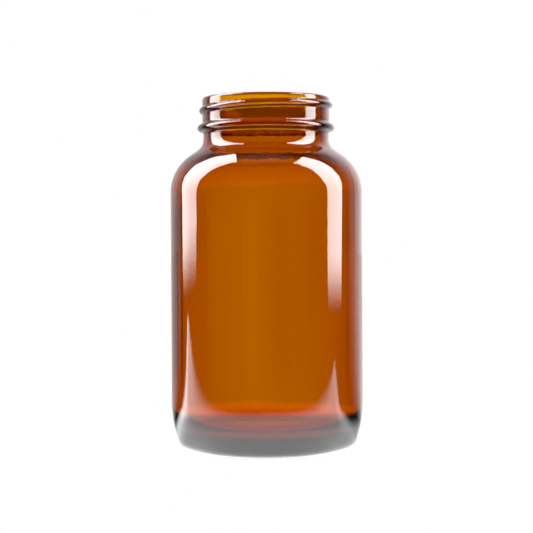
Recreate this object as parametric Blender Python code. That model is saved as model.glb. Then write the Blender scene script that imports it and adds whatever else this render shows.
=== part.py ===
"""Wide-mouth amber glass jar with a screw-thread neck: one hollow, pressed-and-blown piece of glass.

The outline of the glass is drawn once in the (radius, height) plane, from the middle of the inside
floor, up the inside, over the lip, down the outside and in under the base, and is then turned about
the jar's axis.  The helical thread is a round ridge swept along its path and joined to the neck.

Frame: metres, +Z up along the jar's axis, origin in the plane it stands on.  -Y is the front.
"""

import math

import bpy

MM = 0.001

# Body
OVERALL_HEIGHT = 137.8 * MM
BODY_DIAMETER = 75.3 * MM
WALL = 2.5 * MM

# Shoulder: a rounded shoulder, a short straight run, and a cove that turns up into the neck
SHOULDER_RADIUS = 17.6 * MM
SHOULDER_STRAIGHT = 3.7 * MM
COVE_RADIUS = 5.4 * MM

# Heel and base
HEEL_FLARE_RADIUS = 46.6 * MM
HEEL_FLARE_ANGLE = math.radians(19.3)
HEEL_RADIUS = 4.9 * MM
BEARING_WIDTH = 2.8 * MM
PUSH_UP = 2.6 * MM
BASE_THICKNESS = 4.6 * MM
INNER_HEEL_RADIUS = 10.0 * MM

# Neck, mouth and lip; a drop is measured down from the top of the lip
NECK_DIAMETER = 50.0 * MM
NECK_WALL = 3.1 * MM
NECK_ROOT_INSET = 0.35 * MM
NECK_ROOT_DROP = 16.3 * MM
LIP_ROUND = 1.0 * MM
LIP_INNER_ROUND = 0.8 * MM

# Bead that rings the neck below the thread
BEAD_STAND_OUT = 1.95 * MM
BEAD_DROP = 12.0 * MM
BEAD_ROUND = 1.5 * MM
BEAD_FILLET = 1.1 * MM

# Thread: one start, right-hand, about three quarters of a turn
THREAD_DEPTH = 1.25 * MM
THREAD_ROUND = 1.4 * MM
THREAD_PITCH = 4.23 * MM
THREAD_DROP = 2.85 * MM
THREAD_START = math.radians(16)
THREAD_TURN = math.radians(276)
THREAD_RUN_IN = math.radians(20)
THREAD_RUN_OUT = math.radians(60)
THREAD_SUNK = 0.4 * MM
THREAD_END_SHARE = 0.4

# Radii that several sections of the outline share
SIDE_RADIUS = BODY_DIAMETER / 2
NECK_RADIUS = NECK_DIAMETER / 2
NECK_ROOT_RADIUS = NECK_RADIUS - NECK_ROOT_INSET
BORE_RADIUS = NECK_RADIUS - NECK_WALL

# Facets
TURN_STEPS = 56
THREAD_STEPS = 54

AMBER = (0.36, 0.11, 0.008, 1.0)


def clear_scene():
    """Remove every object that the file holds."""
    for old in list(bpy.data.objects):
        bpy.data.objects.remove(old, do_unlink=True)


def arc(centre, radius, start, end, steps):
    """Points on a round arc in the (radius, height) plane, both ends included; angles in radians."""
    points = []
    for step in range(steps + 1):
        angle = start + (end - start) * step / steps
        points.append((centre[0] + radius * math.cos(angle), centre[1] + radius * math.sin(angle)))
    return points


def shoulder_slope(step_out, rounds, straight):
    """Angle from the vertical at which the straight run lies.

    The cove and the shoulder, whose radii add up to rounds, both turn through this angle, and
    rounds * (1 - cos) + straight * sin is the whole step from the neck out to the side.
    """
    reach = math.hypot(rounds, straight)
    return math.acos((rounds - step_out) / reach) - math.atan2(straight, rounds)


def shoulder(side_radius, neck_radius, shoulder_radius, cove_radius):
    """Wall from the foot of the neck down to the top of the side: cove, straight run, shoulder."""
    root_height = OVERALL_HEIGHT - NECK_ROOT_DROP
    rounds = shoulder_radius + cove_radius
    slope = shoulder_slope(side_radius - neck_radius, rounds, SHOULDER_STRAIGHT)
    fall = rounds * math.sin(slope) + SHOULDER_STRAIGHT * math.cos(slope)
    cove_centre = (neck_radius + cove_radius, root_height)
    shoulder_centre = (side_radius - shoulder_radius, root_height - fall)
    points = arc(cove_centre, cove_radius, math.pi, math.pi + slope, 4)
    points += arc(shoulder_centre, shoulder_radius, slope, 0.0, 7)
    return points


def inside():
    """Inside of the glass, from the middle of the floor up to the bore's top edge."""
    side_radius = SIDE_RADIUS - WALL
    floor = PUSH_UP + BASE_THICKNESS
    heel_centre = (side_radius - INNER_HEEL_RADIUS, floor + INNER_HEEL_RADIUS)
    root_wall = NECK_ROOT_RADIUS - BORE_RADIUS
    upper = shoulder(side_radius, BORE_RADIUS, SHOULDER_RADIUS - WALL, COVE_RADIUS + root_wall)
    points = [(0.0, floor)]
    points += arc(heel_centre, INNER_HEEL_RADIUS, -math.pi / 2, 0.0, 6)
    points += reversed(upper)
    return points


def lip():
    """Mouth of the jar: the inner corner, the flat sealing land and the outer corner."""
    inner_centre = (BORE_RADIUS + LIP_INNER_ROUND, OVERALL_HEIGHT - LIP_INNER_ROUND)
    outer_centre = (NECK_RADIUS - LIP_ROUND, OVERALL_HEIGHT - LIP_ROUND)
    points = arc(inner_centre, LIP_INNER_ROUND, math.pi, math.pi / 2, 3)
    points += arc(outer_centre, LIP_ROUND, math.pi / 2, 0.0, 4)
    return points


def bead():
    """Round bead on the neck, with a fillet above it and another below."""
    height = OVERALL_HEIGHT - BEAD_DROP
    centre = (NECK_RADIUS + BEAD_STAND_OUT - BEAD_ROUND, height)
    reach = BEAD_ROUND + BEAD_FILLET
    upper_radius = NECK_RADIUS + BEAD_FILLET
    lower_radius = NECK_ROOT_RADIUS + BEAD_FILLET
    upper_rise = math.sqrt(reach**2 - (upper_radius - centre[0]) ** 2)
    lower_fall = math.sqrt(reach**2 - (lower_radius - centre[0]) ** 2)
    upper_angle = math.atan2(upper_rise, upper_radius - centre[0])
    lower_angle = math.atan2(-lower_fall, lower_radius - centre[0])
    upper_centre = (upper_radius, height + upper_rise)
    lower_centre = (lower_radius, height - lower_fall)
    points = arc(upper_centre, BEAD_FILLET, math.pi, math.pi + upper_angle, 3)
    points += arc(centre, BEAD_ROUND, upper_angle, lower_angle, 8)[1:-1]
    points += arc(lower_centre, BEAD_FILLET, math.pi + lower_angle, math.pi, 3)
    return points


def heel_and_base():
    """Outside from the foot of the side, round the two-radius heel, to the middle of the push-up."""
    flare_height = HEEL_RADIUS + (HEEL_FLARE_RADIUS - HEEL_RADIUS) * math.sin(HEEL_FLARE_ANGLE)
    flare_centre = (SIDE_RADIUS - HEEL_FLARE_RADIUS, flare_height)
    tuck = (HEEL_FLARE_RADIUS - HEEL_RADIUS) * (1 - math.cos(HEEL_FLARE_ANGLE))
    heel_centre = (SIDE_RADIUS - tuck - HEEL_RADIUS, HEEL_RADIUS)
    points = arc(flare_centre, HEEL_FLARE_RADIUS, 0.0, -HEEL_FLARE_ANGLE, 4)
    points += arc(heel_centre, HEEL_RADIUS, -HEEL_FLARE_ANGLE, -math.pi / 2, 5)[1:]
    ring_radius = heel_centre[0] - BEARING_WIDTH
    dome_radius = (ring_radius**2 + PUSH_UP**2) / (2 * PUSH_UP)
    dome_half_angle = math.asin(ring_radius / dome_radius)
    dome_centre = (0.0, PUSH_UP - dome_radius)
    dome = arc(dome_centre, dome_radius, math.pi / 2 - dome_half_angle, math.pi / 2, 4)
    points += dome[:-1]
    points.append((0.0, PUSH_UP))
    return points


def glass_outline():
    """Whole outline of the glass, in order; it runs down the outside, so the turned faces point out."""
    outer_shoulder = shoulder(SIDE_RADIUS, NECK_ROOT_RADIUS, SHOULDER_RADIUS, COVE_RADIUS)
    return inside() + lip() + bead() + outer_shoulder + heel_and_base()


def amber_glass():
    """Clear amber glass for the jar."""
    material = bpy.data.materials.new("amber_glass")
    material.use_nodes = True
    shader = material.node_tree.nodes["Principled BSDF"]
    shader.inputs["Base Color"].default_value = AMBER
    shader.inputs["Roughness"].default_value = 0.03
    shader.inputs["Metallic"].default_value = 0.0
    material.diffuse_color = AMBER
    return material


def new_object(name, data):
    """Put an object that shows this data into the scene."""
    made = bpy.data.objects.new(name, data)
    bpy.context.scene.collection.objects.link(made)
    return made


def turned_glass(outline):
    """The outline as a chain of edges, turned once about Z by a Screw modifier."""
    mesh = bpy.data.meshes.new("glass_outline")
    points = [(radius, 0.0, height) for radius, height in outline]
    edges = [(index, index + 1) for index in range(len(points) - 1)]
    mesh.from_pydata(points, edges, [])
    jar = new_object("glass_jar", mesh)
    turn = jar.modifiers.new("turn", "SCREW")
    turn.steps = TURN_STEPS
    turn.render_steps = TURN_STEPS
    turn.use_merge_vertices = True
    turn.merge_threshold = 0.01 * MM
    turn.use_smooth_shade = True
    return jar


def smooth_step(share):
    """0 below 0, 1 above 1, and an S-curve between."""
    share = min(max(share, 0.0), 1.0)
    return share * share * (3 - 2 * share)


def thread_ridge():
    """Helical ridge as a closed tube that sinks into the neck's wall at both of its ends."""
    curve = bpy.data.curves.new("thread_path", "CURVE")
    curve.dimensions = "3D"
    curve.bevel_depth = THREAD_ROUND
    curve.bevel_resolution = 3
    curve.use_fill_caps = True
    path = curve.splines.new("POLY")
    path.points.add(THREAD_STEPS)
    for index, point in enumerate(path.points):
        turned = THREAD_TURN * index / THREAD_STEPS
        full = smooth_step(turned / THREAD_RUN_IN) * smooth_step((THREAD_TURN - turned) / THREAD_RUN_OUT)
        share = THREAD_END_SHARE + (1 - THREAD_END_SHARE) * full
        crest_radius = NECK_RADIUS + THREAD_DEPTH * full - THREAD_SUNK * (1 - full)
        middle_radius = crest_radius - THREAD_ROUND * share
        angle = THREAD_START - turned
        height = OVERALL_HEIGHT - THREAD_DROP - THREAD_PITCH * turned / math.tau
        point.co = (middle_radius * math.cos(angle), middle_radius * math.sin(angle), height, 1.0)
        point.radius = share
    guide = new_object("thread_path", curve)
    bpy.context.view_layer.update()
    shown = guide.evaluated_get(bpy.context.evaluated_depsgraph_get())
    ridge = new_object("thread_ridge", bpy.data.meshes.new_from_object(shown))
    bpy.data.objects.remove(guide, do_unlink=True)
    ridge.hide_render = True
    ridge.display_type = "WIRE"
    return ridge


def join_ridge(jar, ridge):
    """Weld the ridge to the neck, so that jar and thread are one body of glass."""
    weld = jar.modifiers.new("weld_thread", "BOOLEAN")
    weld.operation = "UNION"
    weld.solver = "EXACT"
    weld.object = ridge


def main():
    """Build the jar."""
    clear_scene()
    jar = turned_glass(glass_outline())
    join_ridge(jar, thread_ridge())
    jar.data.materials.append(amber_glass())


main()
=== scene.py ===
"""Looks of an open, wide-mouth amber glass jar that stands in a plain white studio.

The jar is one closed surface of glass: outside, lip and inside together, so that light is bent at
every face and is tinted by the real thickness that it crosses.
"""

import logging
import math
from dataclasses import dataclass
from enum import Enum

import bpy
import numpy as np
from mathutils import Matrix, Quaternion, Vector


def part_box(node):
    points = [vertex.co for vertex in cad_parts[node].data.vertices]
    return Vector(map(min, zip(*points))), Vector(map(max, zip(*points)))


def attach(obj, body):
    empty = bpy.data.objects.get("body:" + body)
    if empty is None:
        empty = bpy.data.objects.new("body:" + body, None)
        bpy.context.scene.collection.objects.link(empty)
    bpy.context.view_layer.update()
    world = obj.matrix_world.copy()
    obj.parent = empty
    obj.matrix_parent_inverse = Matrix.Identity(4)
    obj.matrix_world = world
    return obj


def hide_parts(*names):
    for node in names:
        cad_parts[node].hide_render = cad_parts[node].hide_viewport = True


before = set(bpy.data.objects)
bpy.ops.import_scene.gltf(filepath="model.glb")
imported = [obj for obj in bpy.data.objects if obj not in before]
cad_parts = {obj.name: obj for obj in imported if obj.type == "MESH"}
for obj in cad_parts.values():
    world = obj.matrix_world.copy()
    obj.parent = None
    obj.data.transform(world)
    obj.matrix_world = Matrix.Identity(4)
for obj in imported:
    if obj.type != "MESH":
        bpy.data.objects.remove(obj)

MM = 0.001
log = logging.getLogger("amber_jar")


# Curves and surfaces


def arc(centre: tuple[float, float], radius: float, start: float, end: float, steps: int) -> np.ndarray:
    """Round arc: centre + radius * (cos a, sin a), with a running evenly from start to end.

    Args:
        centre: Middle of the arc as (radius from the jar's axis, height).
        radius: Radius of the arc.
        start: First angle, in radians.
        end: Last angle, in radians.
        steps: Number of equal steps.

    Returns:
        Points of the arc, both ends included, one per row.
    """
    angle = np.linspace(start, end, steps + 1)
    return np.column_stack((centre[0] + radius * np.cos(angle), centre[1] + radius * np.sin(angle)))


def run(start: np.ndarray, end: np.ndarray, steps: int) -> np.ndarray:
    """Evenly spaced points strictly between two points of the outline.

    Args:
        start: Point before the run.
        end: Point after the run.
        steps: Number of equal steps from start to end.

    Returns:
        The steps - 1 points between them.
    """
    share = np.linspace(0.0, 1.0, steps + 1)[1:-1, None]
    return np.asarray(start) * (1 - share) + np.asarray(end) * share


def smooth_step(share: np.ndarray) -> np.ndarray:
    """S-curve 3 s^2 - 2 s^3 of share s, held at 0 below 0 and at 1 above 1."""
    held = np.clip(share, 0.0, 1.0)
    return held * held * (3 - 2 * held)


def ridge(offset: np.ndarray, half_width: float) -> np.ndarray:
    """Ridge with a parabola for its section: 1 - (x / w)^2 over |x| < w, and 0 beyond."""
    return np.clip(1 - (offset / half_width) ** 2, 0.0, None)


def revolved_mesh(name: str, x: np.ndarray, y: np.ndarray, z: np.ndarray) -> bpy.types.Mesh:
    """Closed mesh from rings of points that run from a pole to a pole.

    The first and last rows of the grids are single points on the axis; every other row is a ring.
    Each cell between two rings is a quad, and each pole is closed by a fan of triangles.

    Args:
        name: Name of the mesh.
        x: X of each grid point, rows along the outline and columns round the axis.
        y: Y of each grid point.
        z: Z of each grid point.

    Returns:
        The mesh, smooth shaded, with its faces pointing out.
    """
    rows, columns = x.shape
    inner = slice(1, rows - 1)
    rings = np.stack((x[inner], y[inner], z[inner]), axis=-1).reshape(-1, 3)
    poles = np.array([[0.0, 0.0, z[0].mean()], [0.0, 0.0, z[-1].mean()]])
    points = np.concatenate((rings, poles))
    first_pole = len(rings)
    last_pole = first_pole + 1
    row = np.arange(rows - 3)[:, None] * columns
    column = np.arange(columns)[None, :]
    after = (column + 1) % columns
    quads = np.stack((row + column, row + columns + column, row + columns + after, row + after), axis=-1)
    quads = quads.reshape(-1, 4)
    ring = np.arange(columns)
    ring_after = (ring + 1) % columns
    last_row = (rows - 3) * columns
    first_fan = np.stack((np.full(columns, first_pole), ring, ring_after), axis=-1)
    last_fan = np.stack((np.full(columns, last_pole), last_row + ring_after, last_row + ring), axis=-1)
    corners = np.concatenate((quads.ravel(), first_fan.ravel(), last_fan.ravel()))
    sizes = np.concatenate((np.full(len(quads), 4), np.full(2 * columns, 3)))
    starts = np.concatenate(([0], np.cumsum(sizes)[:-1]))
    mesh = bpy.data.meshes.new(name)
    mesh.vertices.add(len(points))
    mesh.vertices.foreach_set("co", points.astype(np.float32).ravel())
    mesh.loops.add(len(corners))
    mesh.loops.foreach_set("vertex_index", corners.astype(np.int32))
    mesh.polygons.add(len(sizes))
    mesh.polygons.foreach_set("loop_start", starts.astype(np.int32))
    mesh.polygons.foreach_set("use_smooth", np.ones(len(sizes), bool))
    mesh.update(calc_edges=True)
    mesh.validate()
    return mesh


def new_object(name: str, data: bpy.types.ID | None) -> bpy.types.Object:
    """Object at the origin that shows the data, linked into the scene."""
    made = bpy.data.objects.new(name, data)
    bpy.context.scene.collection.objects.link(made)
    return made


# The glass


@dataclass(frozen=True)
class ScrewThread:
    """One right-hand thread that rises out of the neck and sinks back into it."""

    depth: float = 1.25 * MM
    half_height: float = 1.5 * MM
    pitch: float = 4.23 * MM
    drop: float = 2.85 * MM
    start: float = math.radians(16)
    turn: float = math.radians(276)
    run_in: float = math.radians(20)
    run_out: float = math.radians(60)

    def lift(self, angle: np.ndarray, height: np.ndarray, lip_height: float) -> np.ndarray:
        """How far the thread stands out of the neck.

        The crest lies on the helix height = lip - drop - pitch * turned / (2 pi), with turned the
        angle from the start, clockwise from above.  Across the crest the section is a parabola.

        Args:
            angle: Angle round the axis of each point, in radians.
            height: Height of each point.
            lip_height: Height of the top of the lip.

        Returns:
            Radial lift of each point.
        """
        lift = np.zeros(np.broadcast(angle, height).shape)
        for lap in (0, 1):
            turned = (self.start - angle) % math.tau + lap * math.tau
            crest = lip_height - self.drop - self.pitch * turned / math.tau
            full = smooth_step(turned / self.run_in) * smooth_step((self.turn - turned) / self.run_out)
            lift = np.maximum(lift, self.depth * full * ridge(height - crest, self.half_height))
        return lift


@dataclass
class GlassJar:
    """The jar: the sizes of its outline and the marks that moulding leaves on it."""

    height: float
    side_radius: float
    wall: float = 2.5 * MM
    shoulder_radius: float = 17.6 * MM
    shoulder_straight: float = 3.7 * MM
    cove_radius: float = 5.4 * MM
    flare_radius: float = 46.6 * MM
    flare_angle: float = math.radians(19.3)
    heel_radius: float = 4.9 * MM
    bearing_width: float = 2.8 * MM
    push_up: float = 2.6 * MM
    base_thickness: float = 4.6 * MM
    inner_heel_radius: float = 10.0 * MM
    neck_radius: float = 25.0 * MM
    neck_wall: float = 3.1 * MM
    root_inset: float = 0.35 * MM
    root_drop: float = 16.3 * MM
    lip_round: float = 1.0 * MM
    lip_inner_round: float = 0.8 * MM
    bead_stand_out: float = 1.95 * MM
    bead_drop: float = 12.0 * MM
    bead_round: float = 1.5 * MM
    bead_fillet: float = 1.1 * MM
    thread: ScrewThread = ScrewThread()
    unevenness: float = 0.14 * MM
    uneven_low: float = 14 * MM
    uneven_high: float = 108 * MM
    uneven_fade: float = 20 * MM
    uneven_beyond: float = 30 * MM
    stipple_count: int = 72
    stipple_depth: float = 0.35 * MM
    stipple_half: float = 0.9 * MM
    stipple_shift: float = 1.3 * MM
    stipple_reach: float = 1.6
    stipple_below: float = 1.2 * MM
    neck_slack: float = 0.1 * MM
    columns: int = 288

    @property
    def root_radius(self) -> float:
        """Outside radius of the neck below the bead."""
        return self.neck_radius - self.root_inset

    @property
    def flare_tuck(self) -> float:
        """How far the flare of the heel draws in below the side."""
        return (self.flare_radius - self.heel_radius) * (1 - math.cos(self.flare_angle))

    @property
    def bore_radius(self) -> float:
        """Inside radius of the neck."""
        return self.neck_radius - self.neck_wall

    def shoulder(self, side: float, neck: float, shoulder_radius: float, cove_radius: float) -> np.ndarray:
        """Wall from the foot of the neck to the top of the side: cove, straight run, shoulder.

        Both arcs turn through the slope angle a, found from
        (shoulder + cove) (1 - cos a) + straight sin a = side - neck.

        Args:
            side: Radius of the side.
            neck: Radius of the neck.
            shoulder_radius: Radius of the rounded shoulder.
            cove_radius: Radius of the hollow curve up into the neck.

        Returns:
            Points from the top down.
        """
        rounds = shoulder_radius + cove_radius
        straight = self.shoulder_straight
        reach = math.hypot(rounds, straight)
        slope = math.acos((rounds - side + neck) / reach) - math.atan2(straight, rounds)
        fall = rounds * math.sin(slope) + straight * math.cos(slope)
        root_height = self.height - self.root_drop
        cove = arc((neck + cove_radius, root_height), cove_radius, math.pi, math.pi + slope, 14)
        rounded = arc((side - shoulder_radius, root_height - fall), shoulder_radius, slope, 0.0, 24)
        return np.concatenate((cove, run(cove[-1], rounded[0], 4), rounded))

    def inside(self) -> np.ndarray:
        """Inside of the glass, from the middle of the floor up to the foot of the neck."""
        side = self.side_radius - self.wall
        floor = self.push_up + self.base_thickness
        heel_centre = (side - self.inner_heel_radius, floor + self.inner_heel_radius)
        root_wall = self.root_radius - self.bore_radius
        upper = self.shoulder(
            side, self.bore_radius, self.shoulder_radius - self.wall, self.cove_radius + root_wall
        )[::-1]
        centre = np.array([[0.0, floor]])
        heel = arc(heel_centre, self.inner_heel_radius, -math.pi / 2, 0.0, 16)
        floor_run = run(centre[0], heel[0], 14)
        return np.concatenate((centre, floor_run, heel, run(heel[-1], upper[0], 26), upper))

    def lip(self) -> np.ndarray:
        """Mouth: the inner corner, the flat land and the outer corner."""
        inner_centre = (self.bore_radius + self.lip_inner_round, self.height - self.lip_inner_round)
        outer_centre = (self.neck_radius - self.lip_round, self.height - self.lip_round)
        inner = arc(inner_centre, self.lip_inner_round, math.pi, math.pi / 2, 8)
        outer = arc(outer_centre, self.lip_round, math.pi / 2, 0.0, 8)
        return np.concatenate((inner, run(inner[-1], outer[0], 3), outer))

    def bead(self) -> np.ndarray:
        """Round bead with a fillet above it and another below, all tangent to each other."""
        height = self.height - self.bead_drop
        middle = self.neck_radius + self.bead_stand_out - self.bead_round
        reach = self.bead_round + self.bead_fillet
        upper = self.neck_radius + self.bead_fillet
        lower = self.root_radius + self.bead_fillet
        rise = math.sqrt(reach**2 - (upper - middle) ** 2)
        fall = math.sqrt(reach**2 - (lower - middle) ** 2)
        upper_angle = math.atan2(rise, upper - middle)
        lower_angle = math.atan2(-fall, lower - middle)
        above = arc((upper, height + rise), self.bead_fillet, math.pi, math.pi + upper_angle, 8)
        crown = arc((middle, height), self.bead_round, upper_angle, lower_angle, 20)[1:-1]
        below = arc((lower, height - fall), self.bead_fillet, math.pi + lower_angle, math.pi, 8)
        return np.concatenate((above, crown, below))

    def heel_and_base(self) -> np.ndarray:
        """Outside from the foot of the side, round the heel and bearing ring, to the push-up."""
        spread = self.flare_radius - self.heel_radius
        flare_height = self.heel_radius + spread * math.sin(self.flare_angle)
        flare_centre = (self.side_radius - self.flare_radius, flare_height)
        heel_centre = (self.side_radius - self.flare_tuck - self.heel_radius, self.heel_radius)
        flare = arc(flare_centre, self.flare_radius, 0.0, -self.flare_angle, 14)
        heel = arc(heel_centre, self.heel_radius, -self.flare_angle, -math.pi / 2, 16)[1:]
        ring_radius = heel_centre[0] - self.bearing_width
        dome_radius = (ring_radius**2 + self.push_up**2) / (2 * self.push_up)
        half_angle = math.asin(ring_radius / dome_radius)
        dome_centre = (0.0, self.push_up - dome_radius)
        dome = arc(dome_centre, dome_radius, math.pi / 2 - half_angle, math.pi / 2, 18)
        dome[-1, 0] = 0.0
        return np.concatenate((flare, heel, run(heel[-1], dome[0], 8), dome))

    def outline(self) -> np.ndarray:
        """Whole outline of the glass, from the middle of the floor to the middle of the base."""
        inside = self.inside()
        lip = self.lip()
        bead = self.bead()
        outer = self.shoulder(self.side_radius, self.root_radius, self.shoulder_radius, self.cove_radius)
        base = self.heel_and_base()
        parts = (
            inside,
            run(inside[-1], lip[0], 18),
            lip,
            run(lip[-1], bead[0], 48),
            bead,
            run(bead[-1], outer[0], 5),
            outer,
            run(outer[-1], base[0], 20),
            base,
        )
        return np.concatenate(parts)

    def uneven_inside(self, angle: np.ndarray, height: np.ndarray) -> np.ndarray:
        """How far the blown inside swells and thins round the body.

        A sum of waves round the axis, each drifting a little with height, faded out towards the
        floor and the neck: unevenness * window(h) * sum of share * sin(count * a + lead + drift * h).
        Each wave is given as (count, share, lead, drift).

        Args:
            angle: Angle round the axis of each point, in radians.
            height: Height of each point.

        Returns:
            Radial shift of each point.
        """
        waves = (
            (3, 0.8, 0.4, 9.0),
            (7, 0.5, 2.1, -14.0),
            (13, 0.42, 4.0, 6.0),
            (29, 0.2, 1.3, 4.0),
            (47, 0.12, 5.2, -3.0),
        )
        swell = sum(
            share * np.sin(count * angle + lead + drift * height) for count, share, lead, drift in waves
        )
        above_floor = smooth_step((height - self.uneven_low) / self.uneven_fade)
        below_neck = smooth_step((self.uneven_high - height) / self.uneven_fade)
        return self.unevenness * (above_floor * below_neck) * swell

    def stipple(self, angle: np.ndarray, radius: np.ndarray) -> np.ndarray:
        """Lift of the knurled ring that the jar stands on: depth * window(r) * sin^2(count * a / 2)."""
        ring_edge = self.side_radius - self.flare_tuck - self.heel_radius
        middle = ring_edge - self.bearing_width / 2 + self.stipple_shift
        window = smooth_step(self.stipple_reach - np.abs(radius - middle) / self.stipple_half)
        return self.stipple_depth * window * np.sin(self.stipple_count * angle / 2) ** 2

    def mesh(self) -> bpy.types.Mesh:
        """The outline turned about the axis, with thread, knurled ring and uneven inside."""
        outline = self.outline()
        angle = np.arange(self.columns) * math.tau / self.columns
        radius, theta = np.meshgrid(outline[:, 0], angle, indexing="ij")
        height = np.repeat(outline[:, 1][:, None], self.columns, axis=1)
        outside = radius > self.neck_radius - self.neck_slack
        above_bead = height > self.height - self.bead_drop
        on_neck = outside & above_bead & (height < self.height - self.lip_round / 2)
        radius = radius + np.where(on_neck, self.thread.lift(theta, height, self.height), 0.0)
        inner_rows = np.arange(len(outline))[:, None] < len(self.inside())
        in_body = inner_rows & (radius > self.uneven_beyond)
        radius = radius + np.where(in_body, self.uneven_inside(theta, height), 0.0)
        under = ~inner_rows & (height < self.stipple_below)
        height = height + np.where(under, self.stipple(theta, radius), 0.0)
        return revolved_mesh("glass_jar_surface", radius * np.cos(theta), radius * np.sin(theta), height)

    def build(self, glass: bpy.types.Material) -> bpy.types.Object:
        """Make the jar's object and give it its glass.

        Args:
            glass: Material of the jar.

        Returns:
            The jar, riding on the frame.
        """
        jar = new_object("amber_jar", self.mesh())
        jar.data.materials.append(glass)
        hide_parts("glass_jar")
        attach(jar, "root")
        return jar


# The finish


def sines(start: float, end: float) -> tuple[float, float]:
    """Heights on the unit sphere of two angles above the horizon, given in degrees."""
    return math.sin(math.radians(start)), math.sin(math.radians(end))


def bearings(start: float, end: float) -> tuple[float, float]:
    """Two bearings from straight behind the jar, given in degrees and positive to the right."""
    return math.radians(start), math.radians(end)


@dataclass
class ShaderBench:
    """Short ways of adding nodes to one node tree."""

    tree: bpy.types.NodeTree

    def node(self, kind: str, **settings: object) -> bpy.types.Node:
        """New node of a kind, with its own properties set."""
        made = self.tree.nodes.new(kind)
        for name, value in settings.items():
            setattr(made, name, value)
        return made

    def link(self, source: object, target: bpy.types.NodeSocket) -> None:
        """Feed a socket from another one, or set it to a plain value."""
        if isinstance(source, bpy.types.NodeSocket):
            self.tree.links.new(source, target)
        else:
            target.default_value = source

    def math(self, operation: str, first: object, second: object = 0.0) -> bpy.types.NodeSocket:
        """Result of one Math node."""
        made = self.node("ShaderNodeMath", operation=operation)
        self.link(first, made.inputs[0])
        self.link(second, made.inputs[1])
        return made.outputs[0]

    def product(self, first: object, *others: object) -> bpy.types.NodeSocket:
        """Product of all the values, taken from the left."""
        for other in others:
            first = self.math("MULTIPLY", first, other)
        return first

    def total(self, first: object, *others: object) -> bpy.types.NodeSocket:
        """Sum of all the values, taken from the left."""
        for other in others:
            first = self.math("ADD", first, other)
        return first

    def fade(
        self, value: object, start: float, end: float, low: float = 0.0, high: float = 1.0
    ) -> bpy.types.NodeSocket:
        """S-curve from low to high while the value goes from start to end."""
        made = self.node("ShaderNodeMapRange", interpolation_type="SMOOTHSTEP")
        entries = {"Value": value, "From Min": start, "From Max": end, "To Min": low, "To Max": high}
        for name, entry in entries.items():
            self.link(entry, made.inputs[name])
        return made.outputs["Result"]

    def blend(self, share: object, first: object, second: object) -> bpy.types.NodeSocket:
        """First value at share 0, second at share 1."""
        made = self.node("ShaderNodeMix", data_type="FLOAT")
        for name, entry in zip(("Factor", "A", "B"), (share, first, second)):
            self.link(entry, made.inputs[name])
        return made.outputs["Result"]

    def noise(self, place: bpy.types.NodeSocket, cells: float, detail: float) -> bpy.types.NodeSocket:
        """Noise between 0 and 1 at a number of cells per metre."""
        made = self.node("ShaderNodeTexNoise")
        self.link(place, made.inputs["Vector"])
        made.inputs["Scale"].default_value = cells
        made.inputs["Detail"].default_value = detail
        return made.outputs[0]

    def scaled(self, place: bpy.types.NodeSocket, height_scale: float) -> bpy.types.NodeSocket:
        """The place, with its height scaled: below 1 draws a pattern out upright."""
        made = self.node("ShaderNodeMapping")
        made.inputs["Scale"].default_value = (1.0, 1.0, height_scale)
        self.link(place, made.inputs["Vector"])
        return made.outputs["Vector"]

    def split(self, place: bpy.types.NodeSocket) -> tuple[bpy.types.NodeSocket, ...]:
        """X, Y and Z of a vector."""
        made = self.node("ShaderNodeSeparateXYZ")
        self.link(place, made.inputs[0])
        return tuple(made.outputs)


def number_group(name: str, inputs: tuple[str, ...], outputs: tuple[str, ...]) -> ShaderBench:
    """Bench for a new, empty node group whose sockets are plain numbers."""
    tree = bpy.data.node_groups.new(name, "ShaderNodeTree")
    for entry in inputs:
        tree.interface.new_socket(name=entry, in_out="INPUT", socket_type="NodeSocketFloat")
    for entry in outputs:
        tree.interface.new_socket(name=entry, in_out="OUTPUT", socket_type="NodeSocketFloat")
    return ShaderBench(tree)


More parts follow.
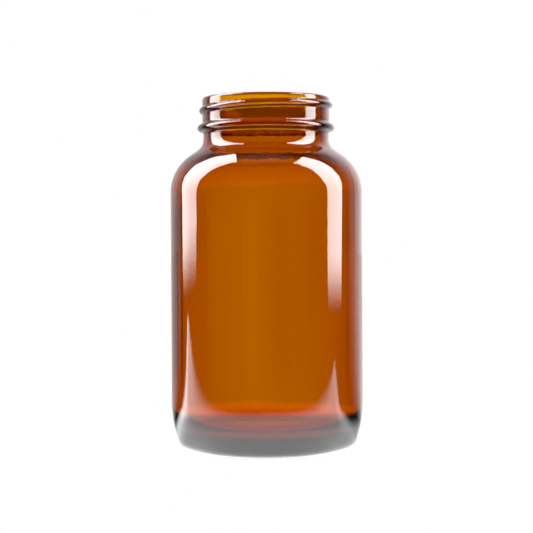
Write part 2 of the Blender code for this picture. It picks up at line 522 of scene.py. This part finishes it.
@dataclass(frozen=True)
class AmberGlass:
    """Clear amber container glass, tinted by how much of it the light crosses."""

    index: float = 1.52
    density: float = 2500.0
    passes: tuple[float, float, float] = (0.94, 0.825, 0.0)
    streaks: float = 0.00006
    streak_cells: float = 260.0
    streak_stretch: float = 0.035
    peel: float = 0.00004
    peel_cells: float = 900.0
    peel_heights: tuple[float, float] = (0.114, 0.124)
    peel_on_body: float = 0.12
    wear: float = 1.0
    foot_heights: tuple[float, float] = (0.0016, 0.0002)
    belt_foot: tuple[float, float] = (0.009, 0.012)
    belt_top: tuple[float, float] = (0.017, 0.013)
    belt_share: float = 0.35
    scratch_cells: float = 700.0
    scratch_flatness: float = 6.0
    scratch_levels: tuple[float, float] = (0.56, 0.7)
    scratch_roughness: float = 0.35
    scratch_depth: float = 0.00002

    def material(self) -> bpy.types.Material:
        """Clear glass with a rippled skin and scuffed contact bands, and the amber in its volume."""
        made = bpy.data.materials.new("amber_glass_body")
        made.use_nodes = True
        nodes = made.node_tree.nodes
        bench = ShaderBench(made.node_tree)
        shader = nodes["Principled BSDF"]
        shader.inputs["Base Color"].default_value = (1.0, 1.0, 1.0, 1.0)
        shader.inputs["Metallic"].default_value = 0.0
        shader.inputs["IOR"].default_value = self.index
        shader.inputs["Transmission Weight"].default_value = 1.0
        skin = bench.node("ShaderNodeGroup", node_tree=self.moulded_skin())
        skin.inputs["Streaks"].default_value = self.streaks
        skin.inputs["Peel"].default_value = self.peel
        wear = bench.node("ShaderNodeGroup", node_tree=self.contact_wear())
        wear.inputs["Amount"].default_value = self.wear
        bump = bench.node("ShaderNodeBump")
        bump.inputs["Distance"].default_value = 1.0
        bench.link(bench.total(skin.outputs["Height"], wear.outputs["Height"]), bump.inputs["Height"])
        bench.link(bump.outputs["Normal"], shader.inputs["Normal"])
        bench.link(wear.outputs["Roughness"], shader.inputs["Roughness"])
        tint = bench.node("ShaderNodeVolumeAbsorption")
        tint.inputs["Color"].default_value = (*self.passes, 1.0)
        tint.inputs["Density"].default_value = self.density
        bench.link(tint.outputs["Volume"], nodes["Material Output"].inputs["Volume"])
        return made

    def moulded_skin(self) -> bpy.types.NodeTree:
        """Height of the skin: long upright streaks on the body and fine orange peel on the neck."""
        bench = number_group("moulded_skin", ("Streaks", "Peel"), ("Height",))
        given, result = bench.node("NodeGroupInput"), bench.node("NodeGroupOutput")
        place = bench.node("ShaderNodeTexCoord").outputs["Object"]
        streak = bench.noise(bench.scaled(place, self.streak_stretch), self.streak_cells, 2.0)
        peel = bench.noise(place, self.peel_cells, 2.0)
        neck = bench.fade(bench.split(place)[2], *self.peel_heights, self.peel_on_body, 1.0)
        body = bench.product(streak, given.outputs["Streaks"])
        fine = bench.product(peel, neck, given.outputs["Peel"])
        bench.link(bench.total(body, fine), result.inputs["Height"])
        return bench.tree

    def contact_wear(self) -> bpy.types.NodeTree:
        """Fine scuffs where jars stand and rub together: under the base and on a belt above the heel."""
        bench = number_group("contact_wear", ("Amount",), ("Roughness", "Height"))
        given, result = bench.node("NodeGroupInput"), bench.node("NodeGroupOutput")
        place = bench.node("ShaderNodeTexCoord").outputs["Object"]
        height = bench.split(place)[2]
        foot = bench.fade(height, *self.foot_heights)
        belt_top = bench.fade(height, *self.belt_top, 0.0, self.belt_share)
        belt = bench.product(bench.fade(height, *self.belt_foot), belt_top)
        grain = bench.noise(bench.scaled(place, self.scratch_flatness), self.scratch_cells, 4.0)
        scratch = bench.fade(grain, *self.scratch_levels)
        worn = bench.product(bench.math("MAXIMUM", foot, belt), scratch, given.outputs["Amount"])
        bench.link(bench.product(worn, self.scratch_roughness), result.inputs["Roughness"])
        bench.link(bench.product(worn, -self.scratch_depth), result.inputs["Height"])
        return bench.tree


# The studio


class Side(Enum):
    """Side of the jar that a light stands on."""

    LEFT = -1
    RIGHT = 1


@dataclass(frozen=True)
class Softbox:
    """Tall soft light beside the jar, leaning back so that it faces the middle of the glass.

    Its middle lies at a bearing from straight behind the jar and at a height angle, and its size is
    given as shares of its distance; the angles are in degrees.  It is brighter towards its top.
    The glass's faces mirror it in full, and a dimmer twin in the same place, the share through as
    bright, is what shows behind the amber.
    """

    name: str
    side: Side
    bearing: float
    height_angle: float
    distance: float
    width_share: float
    tall_share: float
    lean: float
    low_radiance: float
    high_radiance: float
    through: float = 0.25
    aim_height: float = 70 * MM
    rise_share: float = 0.6
    foot_share: float = 0.07

    def build(self) -> None:
        """The light that the glass mirrors, and its dimmer twin."""
        mirrored = self.panel(self.name, 1.0)
        mirrored.visible_transmission = False
        twin = self.panel(self.name + "_twin", self.through)
        twin.visible_glossy = False

    def panel(self, name: str, share: float) -> bpy.types.Object:
        """Area light that looks at the point aim_height up the jar's axis.

        Args:
            name: Name of the light.
            share: Brightness, as a share of the softbox's own.

        Returns:
            The light's object, which the camera doesn't see.
        """
        bearing = self.side.value * math.radians(self.bearing)
        rise = math.radians(self.height_angle)
        level = math.cos(rise)
        away = Vector((math.sin(bearing) * level, math.cos(bearing) * level, math.sin(rise)))
        width = self.width_share * self.distance
        tall = self.tall_share * self.distance
        light = bpy.data.lights.new(name, "AREA")
        light.shape = "RECTANGLE"
        light.size = width
        light.size_y = tall
        light.energy = math.pi * width * tall * share
        self.glow(light)
        made = new_object(name, light)
        made.location = Vector((0.0, 0.0, self.aim_height)) + away * self.distance
        roll = Quaternion((0.0, 0.0, 1.0), -self.side.value * math.radians(self.lean))
        made.rotation_mode = "QUATERNION"
        made.rotation_quaternion = away.to_track_quat("Z", "Y") @ roll
        made.visible_camera = False
        return made

    def glow(self, light: bpy.types.Light) -> None:
        """Brightness over the light's face, from its low edge to its top edge."""
        light.use_nodes = True
        bench = ShaderBench(light.node_tree)
        up = bench.split(bench.node("ShaderNodeNewGeometry").outputs["Parametric"])[1]
        face = bench.fade(up, 0.0, self.rise_share, self.low_radiance, self.high_radiance)
        foot = bench.fade(up, 0.0, self.foot_share)
        bench.link(bench.product(face, foot), light.node_tree.nodes["Emission"].inputs["Strength"])


@dataclass(frozen=True)
class Backdrop:
    """White paper behind the jar and dark room round it, as the glass sees them.

    Light that has gone through the glass meets paper up to a soft top edge, a little dimmer to the
    left and right, so that the amber glows from wherever it is looked at.  Light that the glass's
    face mirrors meets the paper only in the half behind the jar, so that the front stays clear and
    deep.
    """

    glow: float = 0.98
    upper_glow: float = 1.2
    glow_rise: tuple[float, float] = sines(4.0, 5.6)
    above: float = 0.38
    paper_top: tuple[float, float] = sines(16, 24)
    ceiling: float = 0.14
    ceiling_rise: tuple[float, float] = sines(15, 60)
    side_share: float = 0.5
    side_start: tuple[float, float] = bearings(22, 45)
    side_end: tuple[float, float] = bearings(80, 110)
    left_glow: float = 0.75
    right_glow: float = 1.4
    tone_turn: tuple[float, float] = bearings(-12, 25)
    left_end: tuple[float, float] = bearings(-60, -42)
    right_end: tuple[float, float] = bearings(72, 30)
    mirrored_top: tuple[float, float] = sines(58, 28)
    zenith: float = 0.25
    zenith_rise: tuple[float, float] = sines(68, 76)

    def world(self) -> None:
        """World whose light depends on where a ray goes and on what sent it there."""
        world = bpy.data.worlds.new("studio_room")
        world.use_nodes = True
        bpy.context.scene.world = world
        bench = ShaderBench(world.node_tree)
        x, y, z = bench.split(bench.node("ShaderNodeTexCoord").outputs["Generated"])
        bearing = bench.math("ARCTAN2", x, y)
        path = bench.node("ShaderNodeLightPath")
        through = bench.product(self.seen_through(bench, z), self.fall_off(bench, bearing))
        mirrored = self.mirrored(bench, bearing, z)
        inside = bench.blend(path.outputs["Is Reflection Ray"], through, mirrored)
        strength = bench.blend(path.outputs["Is Camera Ray"], inside, 1.0)
        paper = world.node_tree.nodes["Background"]
        bench.link(strength, paper.inputs["Strength"])
        paper.inputs["Color"].default_value = (1.0, 1.0, 1.0, 1.0)

    def seen_through(self, bench: ShaderBench, z: bpy.types.NodeSocket) -> bpy.types.NodeSocket:
        """Light from behind the glass: lit paper, brighter higher up, then a darker room overhead."""
        grey = bench.fade(z, *self.ceiling_rise, self.above, self.ceiling)
        edge = bench.fade(z, *self.paper_top)
        paper = bench.fade(z, *self.glow_rise, self.glow, self.upper_glow)
        return bench.blend(edge, paper, grey)

    def fall_off(self, bench: ShaderBench, bearing: bpy.types.NodeSocket) -> bpy.types.NodeSocket:
        """Share of the paper's light that is left at each bearing: less to either side of the jar."""
        aside = bench.math("ABSOLUTE", bearing)
        near = bench.fade(aside, *self.side_start, 1.0, self.side_share)
        far = bench.fade(aside, *self.side_end)
        return bench.blend(far, near, 1.0)

    def mirrored(
        self, bench: ShaderBench, bearing: bpy.types.NodeSocket, z: bpy.types.NodeSocket
    ) -> bpy.types.NodeSocket:
        """Light in the glass's faces: the lit paper behind the jar, a dark room elsewhere."""
        tone = bench.fade(bearing, *self.tone_turn, self.left_glow, self.right_glow)
        left_end = bench.fade(bearing, *self.left_end)
        right_end = bench.fade(bearing, *self.right_end)
        behind = bench.product(left_end, right_end, bench.fade(z, *self.mirrored_top))
        overhead = bench.fade(z, *self.zenith_rise, 0.0, self.zenith)
        return bench.total(bench.product(tone, behind), overhead)


@dataclass(frozen=True)
class Flag:
    """Small grey card close behind the neck, which only shows through the glass.

    Its dim grey glow is painted shade: it darkens the neck seen through the glass, between the bright lip
    above it and the bright body below.
    """

    half_width: float = 46 * MM
    behind: float = 90 * MM
    low: float = 131.5 * MM
    high: float = 143.2 * MM
    tone: float = 0.36

    def build(self) -> bpy.types.Object:
        """Upright card, hidden from the camera, from mirrored rays and from shadows."""
        mesh = bpy.data.meshes.new("studio_flag")
        left, right = -self.half_width, self.half_width
        lower = [(left, self.behind, self.low), (right, self.behind, self.low)]
        upper = [(right, self.behind, self.high), (left, self.behind, self.high)]
        mesh.from_pydata(lower + upper, [], [(0, 1, 2, 3)])
        made = new_object("studio_flag", mesh)
        paint = bpy.data.materials.new("studio_flag_paint")
        paint.use_nodes = True
        bench = ShaderBench(paint.node_tree)
        # Painted shade: a dim grey glow that darkens the neck seen through the glass.
        glow = bench.node("ShaderNodeEmission")
        bench.link(self.tone, glow.inputs["Strength"])
        bench.link(glow.outputs["Emission"], paint.node_tree.nodes["Material Output"].inputs["Surface"])
        made.data.materials.append(paint)
        made.visible_camera = False
        made.visible_glossy = False
        made.visible_shadow = False
        return made


@dataclass(frozen=True)
class Sheen:
    """Painted sheen: a soft bright streak painted on the floor that runs out from the jar along a bearing,
    towards a light.
    """

    bearing: float
    half_width: float
    glow: float
    near: float = 0.05

    def light(self, bench: ShaderBench, x: object, y: object) -> bpy.types.NodeSocket:
        """Glow of the streak at each place on the floor."""
        across = bench.total(
            bench.product(x, math.cos(self.bearing)), bench.product(y, -math.sin(self.bearing))
        )
        core = bench.fade(bench.math("ABSOLUTE", across), self.half_width, 0.0)
        along = bench.product(x, math.copysign(1.0, self.bearing))
        return bench.product(core, bench.fade(along, 0.0, self.near, 0.0, self.glow))


@dataclass(frozen=True)
class Tabletop:
    """Pale floor whose glow is painted: a painted pool of light round the foot and a bright painted strip
    of tabletop, which the foot of the jar mirrors.

    Fields named ring are two distances from the jar's axis, and fields named turn are two values of
    y / distance, which is 1 straight behind the jar and -1 straight in front.
    """

    size: float = 12.0
    # Strengths of the painted light on the floor that the glass mirrors: lit strip, pool round the foot
    # and glow behind it.
    lit: float = 3.7
    pool: float = 4.0
    pool_rear: float = 1.3
    pool_behind: float = 0.3
    pool_ring: tuple[float, float] = (0.09, 0.038)
    pool_rear_turn: tuple[float, float] = (0.95, 0.6)
    pool_front_turn: tuple[float, float] = (0.5, -0.7)
    rear_left: float = 0.65
    rear_right: float = 1.1
    rear_tone: tuple[float, float] = bearings(-12, 25)
    rear_left_end: tuple[float, float] = bearings(-60, -40)
    rear_right_end: tuple[float, float] = bearings(72, 35)
    far_ring: tuple[float, float] = (0.03, 0.11)
    left_reach: float = 1.1
    right_reach: float = 0.5
    least_taper: float = 0.02
    front_slopes: tuple[float, float] = (0.27, 0.09)
    front_edge: tuple[float, float] = (-0.19, -0.06)
    back_slopes: tuple[float, float] = (0.32, 0.12)
    back_edge: tuple[float, float] = (0.022, -0.008)
    far_end: tuple[float, float] = (1.0, 0.75)
    wedge_left: tuple[float, float] = bearings(-40, -62)
    wedge_right: tuple[float, float] = bearings(66, 88)
    sheen_left: Sheen = Sheen(math.radians(-73), 0.035, 3.8)
    sheen_right: Sheen = Sheen(math.radians(95), 0.02, 2.6)
    # Painted light seen through the glass: a bright ring on the floor round the foot, over the dimmer
    # floor under the jar.
    shade: float = 1.0
    halo: float = 1.75
    halo_ring: tuple[float, float] = (0.022, 0.045)
    open: float = 0.98
    open_ring: tuple[float, float] = (0.05, 0.12)
    foot_shadow: float = 0.45
    shadow_ring: tuple[float, float] = (0.06, 0.038)
    shadow_turn: tuple[float, float] = (-0.7, -0.15)
    # Painted contact shadow: the camera sees the floor darkened under and just round the jar's foot.
    contact: float = 30.4 * MM
    contact_shadow_edge: float = 1.6 * MM
    contact_shadow_tone: float = 0.15

    def build(self) -> bpy.types.Object:
        """Flat floor with its painted glow."""
        half = self.size / 2
        mesh = bpy.data.meshes.new("studio_floor")
        corners = [(-half, -half, 0.0), (half, -half, 0.0), (half, half, 0.0), (-half, half, 0.0)]
        mesh.from_pydata(corners, [], [(0, 1, 2, 3)])
        made = new_object("studio_floor", mesh)
        made.data.materials.append(self.paint())
        return made

    def paint(self) -> bpy.types.Material:
        """Glow of the floor: white to the eye but for a painted contact shadow round the foot, and painted
        light and shade by place to the glass.
        """
        made = bpy.data.materials.new("studio_floor_paint")
        made.use_nodes = True
        bench = ShaderBench(made.node_tree)
        x, y, _ = bench.split(bench.node("ShaderNodeTexCoord").outputs["Object"])
        reach = bench.math("SQRT", bench.total(bench.product(x, x), bench.product(y, y)))
        path = bench.node("ShaderNodeLightPath")
        # Painted light through the glass: dimmer floor under the jar, a painted bright ring round the
        # foot, then open floor.
        halo = bench.fade(reach, *self.halo_ring, self.shade, self.halo)
        through = bench.blend(bench.fade(reach, *self.open_ring), halo, self.open)
        mirrored = self.mirrored(bench, x, y, reach)
        inside = bench.blend(path.outputs["Is Reflection Ray"], through, mirrored)
        glow = bench.node("ShaderNodeEmission")
        # Painted contact shadow for the camera: white floor, darkened inside the edge of the foot.
        seen = bench.fade(reach, self.contact, self.contact + self.contact_shadow_edge, self.contact_shadow_tone, 1.0)
        bench.link(bench.blend(path.outputs["Is Camera Ray"], inside, seen), glow.inputs["Strength"])
        bench.link(glow.outputs["Emission"], made.node_tree.nodes["Material Output"].inputs["Surface"])
        return made

    def mirrored(self, bench: ShaderBench, x: object, y: object, reach: object) -> bpy.types.NodeSocket:
        """Painted pool of light round the foot, brightest in front, with a painted shadow close to the
        foot at the sides and behind, and a painted lit wedge to either side.
        """
        ahead = bench.math("DIVIDE", y, reach)
        rear = bench.fade(ahead, *self.pool_rear_turn, self.pool_behind, self.pool_rear)
        front = bench.fade(ahead, *self.pool_front_turn, 0.0, self.pool - self.pool_rear)
        near_foot = bench.fade(reach, *self.shadow_ring, 0.0, self.foot_shadow)
        shadow = bench.product(bench.fade(ahead, *self.shadow_turn), near_foot)
        lit_foot = bench.product(bench.total(rear, front), bench.math("SUBTRACT", 1.0, shadow))
        pool = bench.product(lit_foot, bench.fade(reach, *self.pool_ring))
        bearing = bench.math("ARCTAN2", x, y)
        far = bench.math("MAXIMUM", self.wedge(bench, x, y, bearing), self.rear_glow(bench, bearing))
        return bench.total(bench.product(far, bench.fade(reach, *self.far_ring)), pool)

    def wedge(self, bench: ShaderBench, x: object, y: object, bearing: object) -> bpy.types.NodeSocket:
        """Painted light: lit tabletop to the left and right, with painted sheens along it, which narrows
        to a point further out.
        """
        left, right = bench.math("MINIMUM", x, 0.0), bench.math("MAXIMUM", x, 0.0)
        length = bench.total(
            bench.math("DIVIDE", left, -self.left_reach), bench.math("DIVIDE", right, self.right_reach)
        )
        taper = bench.math("MAXIMUM", bench.math("SUBTRACT", 1.0, length), self.least_taper)
        to_front, to_back = (
            bench.total(y, bench.total(bench.product(left, slopes[0]), bench.product(right, slopes[1])))
            for slopes in (self.front_slopes, self.back_slopes)
        )
        front = bench.fade(bench.math("DIVIDE", to_front, taper), *self.front_edge)
        back = bench.fade(to_back, *self.back_edge)
        ends = bench.fade(length, *self.far_end)
        aside = bench.total(bench.fade(bearing, *self.wedge_left), bench.fade(bearing, *self.wedge_right))
        lit = bench.product(bench.product(front, back), bench.product(ends, aside))
        streaks = bench.total(self.sheen_left.light(bench, x, y), self.sheen_right.light(bench, x, y))
        return bench.product(lit, bench.total(streaks, self.lit))

    def rear_glow(self, bench: ShaderBench, bearing: object) -> bpy.types.NodeSocket:
        """Painted glow on the floor behind the jar, which carries the tone of the paper above it down to
        the foot.
        """
        tone = bench.fade(bearing, *self.rear_tone, self.rear_left, self.rear_right)
        left_end = bench.fade(bearing, *self.rear_left_end)
        right_end = bench.fade(bearing, *self.rear_right_end)
        return bench.product(left_end, right_end, tone)


@dataclass(frozen=True)
class Studio:
    """Backdrop, flag, floor, two softboxes and the camera."""

    backdrop: Backdrop = Backdrop()
    flag: Flag = Flag()
    tabletop: Tabletop = Tabletop()
    left: Softbox = Softbox(
        "left_softbox",
        Side.LEFT,
        bearing=74.5,
        height_angle=33.5,
        distance=1.2,
        width_share=0.57,
        tall_share=1.46,
        lean=2.0,
        low_radiance=9.0,
        high_radiance=14.4,
    )
    right: Softbox = Softbox(
        "right_softbox",
        Side.RIGHT,
        bearing=92.0,
        height_angle=31.5,
        distance=0.8,
        width_share=0.49,
        tall_share=1.42,
        lean=0.0,
        low_radiance=11.8,
        high_radiance=15.6,
    )
    lens_length: float = 97.9
    film_width: float = 36.0
    nearest: float = 0.01
    eye: tuple[float, float, float] = (0.0, -0.572, 0.0824)
    look_down: float = 1.106
    tilt: float = 0.3

    def camera(self) -> bpy.types.Object:
        """Long lens, a little above the middle of the jar, looking slightly down."""
        lens = bpy.data.cameras.new("studio_camera")
        lens.lens = self.lens_length
        lens.sensor_width = self.film_width
        lens.clip_start = self.nearest
        made = new_object("studio_camera", lens)
        made.location = self.eye
        made.rotation_euler = (math.radians(90 - self.look_down), math.radians(self.tilt), 0.0)
        bpy.context.scene.camera = made
        return made

    def build(self) -> None:
        """Set up the room, the card, the floor, the lights and the camera."""
        self.backdrop.world()
        self.flag.build()
        self.tabletop.build()
        self.left.build()
        self.right.build()
        self.camera()
        bpy.context.scene.view_settings.view_transform = "Standard"


def main() -> None:
    """Build the jar and its studio, and report each piece."""
    logging.basicConfig(level=logging.INFO)
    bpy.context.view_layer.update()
    low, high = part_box("glass_jar")
    jar = GlassJar(height=high.z - low.z, side_radius=(high.x - low.x) / 2)
    made = jar.build(AmberGlass().material())
    log.info("%s: %d faces", made.name, len(made.data.polygons))
    Studio().build()


if __name__ == "__main__":
    main()
